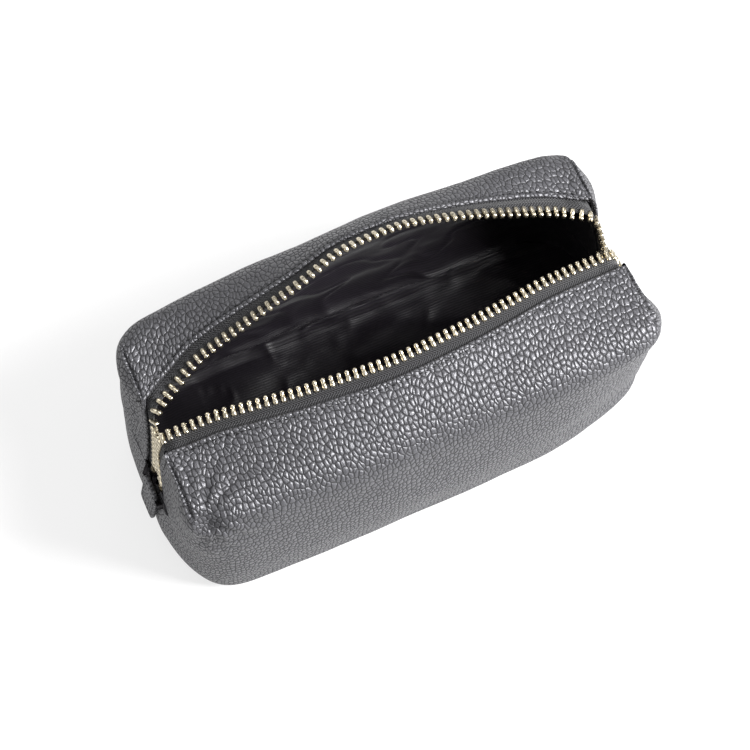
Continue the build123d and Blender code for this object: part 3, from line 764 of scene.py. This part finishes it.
def lining_bag(sides):
    verts, sink, faces, uvs, start = [], [], [], [], 0
    grids = [(g["pts"], shell_relief(side, g), side) for side, g in sides.items()]
    base = base_grid(sides)
    grids.append((base, np.zeros(base.shape[:2]), "base"))
    for pts, relief, side in grids:
        cols, rows_ = shape = pts.shape[:2]
        x, z = pts[..., 0], pts[..., 2]
        flat = pts.reshape(-1, 3)
        big = fbm(flat * np.array([0.8, 1.5, 1.3]), 36, 2, 51.0).reshape(shape)
        small = fbm(flat * np.array([0.9, 2.0, 1.6]), 14, 2, 77.0).reshape(shape)
        crease = np.abs(fbm(flat * np.array([0.7, 1.4, 1.4]), 30, 2, 23.0).reshape(shape))
        down = down_columns(pts)
        if side == "base":
            fade = np.clip((HALF - 10 - np.abs(x)) / 20, 0, 1)
            depth = 0.4
            uv = pts[..., :2]
        else:
            mouth = np.clip(np.arange(rows_)[None, :] / 26, 0, 1) ** 1.5
            fade = mouth * np.clip((HALF - 2 - np.abs(x)) / 16, 0.04, 1)
            # the cloth spans the corner between the wall and the base
            depth = 5.0 * gauss(z, 4, 9) * fade
            uv = np.stack([x, down], -1)
        if side == "back":
            # it lies flat behind the label
            away = np.maximum(np.abs(x - LABEL_MIDDLE) / (LABEL_HALF + 6), np.abs(down - 17) / 17)
            fade = fade * np.clip(away * 2.2 - 2.0, 0.04, 1)
        fold = (np.clip(big + 0.3, 0, 2) * 4.0 + np.clip(small + 0.2, 0, 2) * 0.35
                + 0.9 * np.exp(-(crease / 0.10) ** 2)) * fade
        sink.append((LINING_DEPTH + 0.1 + fold + depth - np.minimum(relief, 0)).reshape(-1))
        quads = grid_faces(cols, rows_, side == "back")
        uvs.append(uv.reshape(-1, 2)[quads])
        faces.append(quads + start)
        verts.append(flat)
        start += cols * rows_
    ob, first, normals = welded("lining_bag", verts, faces, uvs)
    inner = np.vstack(verts)[first] - normals * np.concatenate(sink)[first][:, None]
    inner[:, 2] = np.maximum(inner[:, 2], LINING_DEPTH)
    move(ob, inner)
    dress(ob, LINING_MAT,
          ["lining_front", "lining_back", "lining_base", "lining_left_end", "lining_right_end"])


# Stiffeners
FELT_INSET, FELT_FOOT, FELT_SLACK = 16, 14, 0.25
BOARD_INSET, BOARD_HALF, BOARD_COLS, BOARD_ROWS = 24, 36, 40, 20


def felt_layer(side):
    """The stiffener inside a long wall, as a closed thin slab."""
    loops, uvs = [], []
    for x in np.linspace(FELT_INSET - HALF, HALF - FELT_INSET, 60):
        points = skin(side, x)
        s = np.linspace(TAPE_WIDTH + 1.5, arc(points)[-2] - FELT_FOOT, 50)
        outer, _ = inside(side, points, s, LEATHER + LAYER_GAP + FELT_SLACK)
        inner, _ = inside(side, points, s[::-1], LEATHER + LAYER_GAP + TAPE - 0.1)
        line = np.vstack([outer, inner, outer[:1]])
        loops.append(np.column_stack([np.full(len(line), x), line]))
        uvs.append(np.column_stack([np.full(len(line), x), arc(line)]))
    ob = grid_object(f"felt_{side}", np.array(loops), np.array(uvs), flip=side == "back")
    dress(ob, FELT_MAT, [f"{side}_interlining"])


def base_stiffener():
    cols, rows_ = BOARD_COLS, BOARD_ROWS
    x, y = np.meshgrid(np.linspace(BOARD_INSET - HALF, HALF - BOARD_INSET, cols),
                       np.linspace(-BOARD_HALF, BOARD_HALF, rows_), indexing="ij")
    verts, faces, layer = [], [], cols * rows_
    for k, z in enumerate((LEATHER + LAYER_GAP, LEATHER + LAYER_GAP + TAPE)):
        verts.append(np.stack([x, y, np.full(x.shape, z)], -1).reshape(-1, 3))
        faces += [tuple(f) for f in grid_faces(cols, rows_, k == 0, layer * k)]
    rim = [i * rows_ for i in range(cols)] + list(range(layer - rows_ + 1, layer))
    rim += [i * rows_ + rows_ - 1 for i in range(cols - 2, -1, -1)] + list(range(rows_ - 2, 0, -1))
    faces += [(a, b, b + layer, a + layer) for a, b in zip(rim, rim[1:] + rim[:1])]
    ob = new_mesh("base_stiffener", np.vstack(verts), faces)
    dress(ob, FELT_MAT, ["base_board"])


# Zip
TAPE_STEP, TAPE_COLS, SELVEDGE = 0.8, 12, 0.4
END_THICKNESS = 0.62                    # of a tooth on the ends, where the rows mesh


def tape_sheet(side):
    across = np.concatenate([[0.0], np.linspace(0, TAPE_WIDTH, TAPE_COLS)])
    v = np.concatenate([across, across[::-1] + 40, [0]])
    half = TAPE / 2
    pts, uv = [], []
    for along in np.arange(-along_at(LEFT_FOOT - 7), along_at(RUN_FOOT - 8), TAPE_STEP):
        top = [zip_point(side, along, a, half * (SELVEDGE if i == 0 else 1)) for i, a in enumerate(across)]
        under = [zip_point(side, along, a, -half * (SELVEDGE if i == len(across) - 1 else 1))
                 for i, a in enumerate(across[::-1])]
        pts.append(np.array(top + under + [top[0]]))
        uv.append(np.column_stack([np.full(len(v), along), v]))
    ob = grid_object(f"tape_{side}", np.array(pts), np.array(uv), flip=side == "back")
    dress(ob, TAPE_MAT, [f"zipper_tape_{side}"])


def zip_frame(side, along):
    """Origin, across (towards the other row), outward and along axes at a tooth."""
    here = zip_point(side, along)
    tangent = zip_point(side, along + 0.4) - zip_point(side, along - 0.4)
    tangent /= np.linalg.norm(tangent)
    gap = edge_y("back", along) - edge_y("front", along)
    if gap < 2 * TOOTH_REACH + 3:
        tangent[1] *= max(0.0, (gap - 2 * TOOTH_REACH) / 3)
        tangent /= np.linalg.norm(tangent)
    across = here - zip_point(side, along, 2.0)
    across -= tangent * across.dot(tangent)
    across /= np.linalg.norm(across)
    out = np.cross(tangent, across)
    if zip_point(side, along, 0, 1.0).dot(out) < here.dot(out):
        out = -out
    return here, across, out, tangent


def tooth_shape():
    """One tooth as (across, out, along) points: legs, a waist and a head with a nub."""
    # across, half height, half thickness
    sections = [
        (-1.85, 1.1, 0.85), (-1.7, 1.5, 1.06), (-0.9, 1.62, 1.14), (0.6, 1.62, 1.14), (1.05, 1.5, 1.06),
        (1.4, 1.36, 0.98), (1.8, 1.36, 0.98), (2.2, 1.46, 1.06), (3.1, 1.44, 1.06), (3.5, 1.2, 0.88),
        (3.75, 0.7, 0.5),
    ]
    n, square = 16, 3.2
    verts, faces = [], []
    for a, h, w in sections:
        for k in range(n):
            th = 2 * math.pi * (k + 0.5) / n
            c, s = math.cos(th), math.sin(th)
            r = (abs(c) ** square + abs(s) ** square) ** (-1 / square)
            verts.append((a, h * s * r, w * c * r))
    faces += tube_faces(len(sections), n)
    faces.append(tuple(range(n))[::-1])
    faces.append(tuple((len(sections) - 1) * n + k for k in range(n)))
    # nub on the head, towards the next tooth: radius and height of its rings
    nub, n, base = ((0.45, 0.80), (0.36, 1.12), (0.16, 1.2)), 10, len(verts)
    for r, h in nub:
        for k in range(n):
            th = 2 * math.pi * k / n
            verts.append((2.85 + 0.75 * r * math.cos(th), r * math.sin(th), h))
    faces += tube_faces(len(nub), n, base)
    faces.append(tuple(base + (len(nub) - 1) * n + k for k in range(n)))
    return np.array(verts), faces


def tube_faces(rings, sides, start=0):
    """Side faces of a tube whose rings follow each other in the vertices."""
    faces = []
    for i in range(rings - 1):
        for k in range(sides):
            a, b = start + i * sides + k, start + i * sides + (k + 1) % sides
            faces.append((a, b, b + sides, a + sides))
    return faces


def place_teeth(name, jobs, replaces):
    tooth, tooth_faces = tooth_shape()
    verts, faces, n = [], [], 0
    for side, along in jobs:
        here, across, out, tangent = zip_frame(side, along)
        tangent = tangent * (END_THICKNESS if abs(along) > STRAIGHT - 3 else 1.0)
        verts.append(here + tooth @ np.array([across, out, tangent]))
        faces += [tuple(i + n for i in f) for f in tooth_faces]
        n += len(tooth)
    ob = new_mesh(name, np.vstack(verts), faces)
    dress(ob, TEETH_MAT, replaces)


def tooth_places(side, low, high):
    shift = 0.0 if side == "front" else 0.5
    first = math.ceil(low / TOOTH_PITCH - shift)
    last = math.floor(high / TOOTH_PITCH - shift)
    return [(k + shift) * TOOTH_PITCH for k in range(first, last + 1)]


# Stitches
THREAD_SIDES, THREAD_RINGS = 6, 7
THREAD_THIN, THREAD_SUNK, THREAD_ARCH, THREAD_FLAT = 0.45, 0.22, 0.38, 0.8


def stitches(name, lines, length=2.6, gap=0.8, radius=0.34, mat=THREAD_MAT):
    """Thread stitches along lines of (points, normals) in mm."""
    verts, faces = [], []
    arch = np.sin(np.linspace(0, math.pi, THREAD_RINGS))
    for pts, nrm in lines:
        pts, nrm = np.asarray(pts, float), np.asarray(nrm, float)
        run = np.concatenate([[0], np.cumsum(np.linalg.norm(np.diff(pts, axis=0), axis=1))])
        s = 0.4
        while s + length < run[-1]:
            n = len(verts)
            stations = np.linspace(s, s + length, THREAD_RINGS)
            p = np.stack([np.interp(stations, run, pts[:, k]) for k in range(3)], -1)
            m = np.stack([np.interp(stations, run, nrm[:, k]) for k in range(3)], -1)
            m /= np.linalg.norm(m, axis=1, keepdims=True)
            way = p[-1] - p[0]
            way /= np.linalg.norm(way)
            for j in range(THREAD_RINGS):
                beside = np.cross(way, m[j])
                beside /= np.linalg.norm(beside)
                r = radius * (THREAD_THIN + (1 - THREAD_THIN) * math.sqrt(arch[j]))
                c = p[j] + m[j] * (-THREAD_SUNK + THREAD_ARCH * arch[j])
                for k in range(THREAD_SIDES):
                    th = 2 * math.pi * k / THREAD_SIDES
                    verts.append(c + beside * r * math.cos(th) + m[j] * r * math.sin(th) * THREAD_FLAT)
            faces += tube_faces(THREAD_RINGS, THREAD_SIDES, n)
            faces.append(tuple(n + k for k in range(THREAD_SIDES))[::-1])
            faces.append(tuple(n + (THREAD_RINGS - 1) * THREAD_SIDES + k for k in range(THREAD_SIDES)))
            s += length + gap
    dress(new_mesh(name, verts, faces), mat)


def wall_line(side, offset):
    pts, nrm = [], []
    for x in np.linspace(3 - HALF, HALF - 3, 240):
        place, out = inside(side, skin(side, x), offset, 0.3)
        pts.append([x, *place])
        nrm.append([0, *out])
    return pts, nrm


def end_line(hand, side, offset):
    out = SIGN[hand]
    foot = RUN_FOOT + 6 if hand == "right" else TAB_TOP + 14
    pts, nrm = [], []
    for z in np.linspace(BODY_HEIGHT - 2, foot, 90):
        y = row_y(hand, side, z) + SIGN[side] * (TAPE_SHOWING + offset)
        pts.append([out * (INNER_FACE + LEATHER + float(crown_at(y, z)) - 0.3), y, z])
        nrm.append([out * math.cos(LEAN), 0, math.sin(LEAN)])
    return pts, nrm


# Label on the lining, and the leather tab
LABEL_COLS, LABEL_ROWS, LABEL_INSET, LABEL_RISE = 60, 30, 1.6, 1.0
TAB_ROUND, TAB_SHARE, TAB_RISE = 3.0, 0.8, 0.6


def label_line(xs, distances, depth):
    """Points along one edge of the label and the normals into the bag."""
    p, m = [], []
    for x, s in zip(xs, distances):
        place, out = inside("back", skin("back", x), s, depth)
        p.append([x, *place])
        m.append([0, *(-out)])
    return p, m


def label():
    xs = np.linspace(LABEL_MIDDLE - LABEL_HALF, LABEL_MIDDLE + LABEL_HALF, LABEL_COLS)
    s = np.linspace(LABEL_TOP, LABEL_TOP + LABEL_HEIGHT, LABEL_ROWS)
    depth = LINING_DEPTH + LINING + LAYER_GAP + LABEL_RISE
    row = np.arange(LABEL_ROWS)
    along_y = np.maximum(0.0, 1 - np.minimum(row, LABEL_ROWS - 1 - row) / 2.0)
    pts, uv = [], []
    for i, x in enumerate(xs):
        edge = np.maximum(max(0.0, 1 - min(i, LABEL_COLS - 1 - i) / 2.0), along_y)
        place, _ = inside("back", skin("back", x), s, depth - 0.9 * edge ** 2)
        pts.append(np.column_stack([np.full(LABEL_ROWS, x), place]))
        uv.append(np.column_stack([np.full(LABEL_ROWS, x), s + UV_LABEL]))
    ob = grid_object("label_patch", np.array(pts), np.array(uv), flip=True)
    dress(ob, SMOOTH_LEATHER, ["lining_label"])
    left, right_ = xs[0] + LABEL_INSET, xs[-1] - LABEL_INSET
    top, foot = s[0] + LABEL_INSET, s[-1] - LABEL_INSET
    lines = [label_line(np.linspace(left, right_, 40), np.full(40, at), depth) for at in (top, foot)]
    lines += [label_line(np.full(20, at), np.linspace(top, foot, 20), depth) for at in (left, right_)]
    stitches("label_stitches", lines, length=1.9, gap=0.6, radius=0.26, mat=LABEL_THREAD_PAINTED_HIGHLIGHT)


def tab():
    """The leather tab at the zip's left foot, with a stitched outer face."""
    w, l, t, r = TAB_WIDTH / 2, TAB_LENGTH, TAB_THICKNESS / 2, TAB_ROUND
    outline = []
    for cy, cz, start in ((w - r, -r, 0), (r - w, -r, 90), (r - w, r - l, 180), (w - r, r - l, 270)):
        for a in np.radians(np.linspace(start, start + 90, 7)):
            outline.append((cy + r * math.cos(a), cz + r * math.sin(a)))
    outline = np.array(outline)
    middle = np.array([0, -l / 2])
    # thickness from the middle, share of the outline
    half = [(-t, 0.02), (-t, 0.55), (-t, 0.90), (-t * 0.9, 0.965), (-t * 0.55, 0.995)]
    profile = half + [(0, 1.0)] + [(-x, share) for x, share in half[::-1]]
    pts = []
    for x, share in profile:
        line = middle + (outline - middle) * share
        line = np.vstack([line, line[:1]])
        pts.append(np.column_stack([np.full(len(line), x), line]))
    pts = np.array(pts)
    flat = pts.reshape(-1, 3)
    x = INNER_FACE + LEATHER + CROWN_SLOPE * (CROWN_TOP - TAB_TOP) + LAYER_GAP + t + TAB_RISE
    turn = Matrix.Rotation(LEAN, 3, "Y")
    hang = np.array([-x, TAB_Y, TAB_TOP])
    moved = np.array([hang + np.array(turn @ Vector(p)) for p in flat])
    ob = new_mesh("tab_leather", moved, grid_faces(*pts.shape[:2]), flat[:, 1:] + UV_TAB)
    dress(ob, LEATHER_MAT, ["left_zip_tab"])
    seam = middle + (np.vstack([outline, outline[:1]]) - middle) * TAB_SHARE
    p = [hang + np.array(turn @ Vector((-t, a, b))) for a, b in seam]
    m = [np.array(turn @ Vector((-1, 0, 0)))] * len(seam)
    stitches("tab_stitches", [(p, m)], length=2.0, gap=0.7, radius=0.17)


STITCH_LINE = 2.9
shell = {side: shell_side(side) for side in ("front", "back")}
leather_shell(shell)
lining_bag(shell)
base_stiffener()
run_top = along_at(SLIDER_REST + SLIDER_LENGTH / 2 + 1.2)
for side in ("front", "back"):
    felt_layer(side)
    tape_sheet(side)
    place_teeth(f"teeth_{side}", [(side, a) for a in tooth_places(side, -along_at(LEFT_FOOT), run_top)],
                [f"zipper_teeth_{side}"])
    stitches(f"mouth_stitches_{side}", [wall_line(side, TAPE_SHOWING + STITCH_LINE)])
run_places = [(side, a) for side in ("front", "back")
              for a in tooth_places(side, run_top + 0.01, along_at(RUN_FOOT))]
place_teeth("teeth_run", run_places, ["zipper_teeth_run"])
for hand in ("left", "right"):
    stitches(f"end_stitches_{hand}", [end_line(hand, side, STITCH_LINE) for side in ("front", "back")])
label()
tab()

for node, mat in (
    ("slider_body", SLIDER_MAT), ("pull_pin", SLIDER_MAT), ("pull_tab", SLIDER_MAT),
    ("top_stop_front", TEETH_MAT), ("top_stop_back", TEETH_MAT), ("bottom_stop", TEETH_MAT),
):
    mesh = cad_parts[node].data
    mesh.materials.clear()
    mesh.materials.append(mat)

# Floor, light and camera
FLOOR_HALF, FLOOR_Z, FLOOR_GLOW = 3, -0.0004, 0.72
corners = [(x * FLOOR_HALF, y * FLOOR_HALF, FLOOR_Z) for x, y in ((-1, -1), (1, -1), (1, 1), (-1, 1))]
floor_mesh = bpy.data.meshes.new("floor")
floor_mesh.from_pydata(corners, [], [(0, 1, 2, 3)])
floor = bpy.data.objects.new("floor", floor_mesh)
bpy.context.scene.collection.objects.link(floor)


def floor_nodes(t, bsdf):
    grain = t.texture("Noise", t.place("Object"), 3)
    t.link(t.ramp(grain.outputs["Fac"], [(0, 0.90), (1, 0.92)]), bsdf.inputs["Base Color"])
    settings(bsdf, Roughness=0.8, Specular_IOR_Level=0.2)
    # rays straight from the lens and off shiny things see the floor nearly white, and its shadow stays
    seen = t.node("LightPath")
    mix = t.node("MixShader")
    direct = t.maths("MAXIMUM", seen.outputs["Is Camera Ray"], seen.outputs["Is Glossy Ray"])
    t.link(t.maths("MULTIPLY", direct, FLOOR_GLOW), mix.inputs[0])
    t.link(bsdf.outputs[0], mix.inputs[1])
    t.link(t.node("Emission").outputs[0], mix.inputs[2])
    out = next(n for n in t.tree.nodes if n.type == "OUTPUT_MATERIAL")
    t.link(mix.outputs[0], out.inputs[0])


floor_mesh.materials.append(material("white_floor", floor_nodes))

scene = bpy.context.scene
world = bpy.data.worlds.new("studio")
scene.world = world
world.use_nodes = True
WORLD_LIGHT = 0.38
settings(world.node_tree.nodes["Background"], Color=(1.0, 1.0, 1.0, 1), Strength=WORLD_LIGHT)


def area_light(name, place, target, size, power):
    data = bpy.data.lights.new(name, "AREA")
    data.shape = "RECTANGLE"
    data.size, data.size_y = size
    data.energy = power
    ob = bpy.data.objects.new(name, data)
    bpy.context.scene.collection.objects.link(ob)
    ob.location = place
    ob.rotation_mode = "QUATERNION"
    ob.rotation_quaternion = (Vector(target) - Vector(place)).to_track_quat("-Z", "Y")


area_light("front_box", (0.86, -0.50, 0.86), (0.08, -0.02, 0.06), (0.5, 0.8), 58)
area_light("back_box", (-0.1, 0.75, 1.15), (0, 0, 0.06), (1.2, 0.5), 6)
area_light("left_box", (-1.2, -0.1, 0.8), (0, 0, 0.05), (0.7, 0.9), 2)
area_light("right_box", (1.2, -0.2, 0.8), (0, 0, 0.05), (0.7, 0.9), 4)

CAM_AZ, CAM_EL, CAM_ROLL = math.radians(-29.097), math.radians(71.630), math.radians(5.839)
CAM_TARGET, CAM_DISTANCE = Vector((-4.402, 3.168, 40.0)) * MM, 1.04132
FOCAL_PX, PICTURE_PX, SENSOR = 2150, 750, 36
flat = math.cos(CAM_EL)
back = Vector((math.sin(CAM_AZ) * flat, -math.cos(CAM_AZ) * flat, math.sin(CAM_EL)))
right = Vector((0, 0, 1)).cross(back).normalized()
up = back.cross(right)
cam_x = right * math.cos(CAM_ROLL) + up * math.sin(CAM_ROLL)
cam_y = up * math.cos(CAM_ROLL) - right * math.sin(CAM_ROLL)
cam = bpy.data.objects.new("camera", bpy.data.cameras.new("camera"))
scene.collection.objects.link(cam)
cam.data.sensor_width = SENSOR
cam.data.lens = FOCAL_PX / PICTURE_PX * SENSOR
turned = Matrix((cam_x, cam_y, back)).transposed()
cam.matrix_world = Matrix.Translation(CAM_TARGET + back * CAM_DISTANCE) @ turned.to_4x4()
scene.camera = cam
scene.view_settings.view_transform = "Standard"
